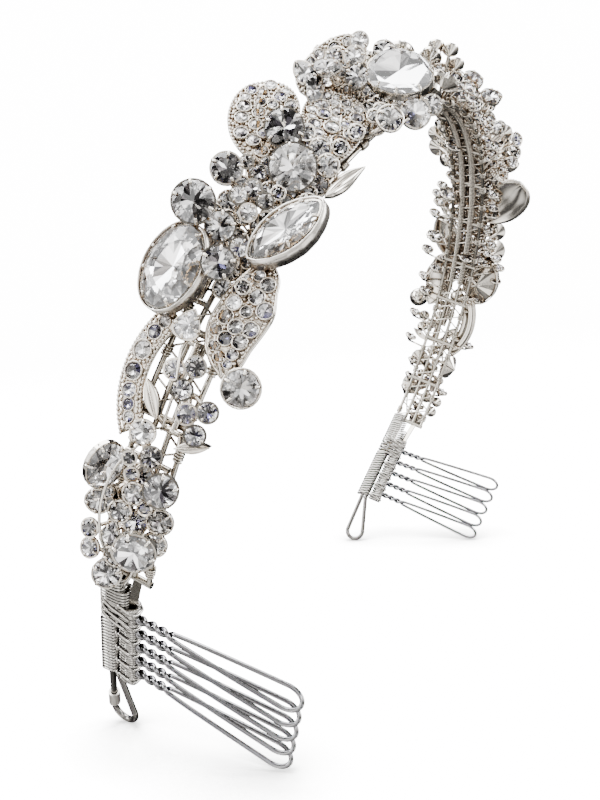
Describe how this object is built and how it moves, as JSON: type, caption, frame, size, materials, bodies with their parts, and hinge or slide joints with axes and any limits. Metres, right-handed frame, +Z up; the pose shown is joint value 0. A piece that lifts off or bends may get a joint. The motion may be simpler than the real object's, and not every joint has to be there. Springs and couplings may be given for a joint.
{
  "type": "crystal headpiece",
  "caption": "Open wire headband with clear crystals in silver settings, ending in a side comb and an eyelet at each foot.",
  "frame": {"origin": "on the surface that the headpiece rests on, under the middle of its bounding box", "axes": "+X from the near foot to the far foot, +Y to the side that the combs' teeth point away from, +Z up off the surface"},
  "size_m": [0.1902, 0.0694, 0.136],
  "materials": {
    "band_wire": "bright silver-plated drawn wire",
    "comb_wire": "bright plated steel wire",
    "binding_wire": "fine silver-plated wire wound in close turns",
    "ferrule_metal": "satin crimped sleeve",
    "cast_silver": "polished silver-plated casting",
    "crystal": "clear cut crystal glass with foil backs"
  },
  "bodies": {
    "root": {"band_frame": "band_wire", "near_comb": "comb_wire", "far_comb": "comb_wire", "near_binding": "binding_wire", "far_binding": "binding_wire", "near_ferrule": "ferrule_metal", "near_end_cluster_setting": "cast_silver", "near_bud_spray_setting": "cast_silver", "near_paved_stem": "cast_silver", "near_sprig_setting": "cast_silver", "near_paved_leaf_long": "cast_silver", "near_oval_setting": "cast_silver", "near_blossom_setting": "cast_silver", "near_navette_setting": "cast_silver", "near_pair_setting": "cast_silver", "near_paved_leaf_round": "cast_silver", "near_paved_leaf_heart": "cast_silver", "near_top_setting": "cast_silver", "near_crest_setting": "cast_silver", "near_end_crystal": "crystal", "near_end_round": "crystal", "near_bud_oval": "crystal", "near_bud_round": "crystal", "near_drop_round": "crystal", "near_side_oval": "crystal", "near_blossom_round_a": "crystal", "near_blossom_round_b": "crystal", "near_navette": "crystal", "near_star_round": "crystal", "near_crown_round": "crystal", "near_top_oval": "crystal", "near_small_stones_low": "crystal", "near_small_stones_upper": "crystal", "far_end_cluster_setting": "cast_silver", "far_bud_spray_setting": "cast_silver", "far_paved_stem": "cast_silver", "far_sprig_setting": "cast_silver", "far_paved_leaf_long": "cast_silver", "far_oval_setting": "cast_silver", "far_blossom_setting": "cast_silver", "far_navette_setting": "cast_silver", "far_pair_setting": "cast_silver", "far_paved_leaf_round": "cast_silver", "far_paved_leaf_heart": "cast_silver", "far_top_setting": "cast_silver", "far_crest_setting": "cast_silver", "far_end_crystal": "crystal", "far_end_round": "crystal", "far_bud_oval": "crystal", "far_bud_round": "crystal", "far_drop_round": "crystal", "far_side_oval": "crystal", "far_blossom_round_a": "crystal", "far_blossom_round_b": "crystal", "far_navette": "crystal", "far_star_round": "crystal", "far_crown_round": "crystal", "far_top_oval": "crystal", "far_small_stones_low": "crystal", "far_small_stones_upper": "crystal"}
  },
  "joints": []
}
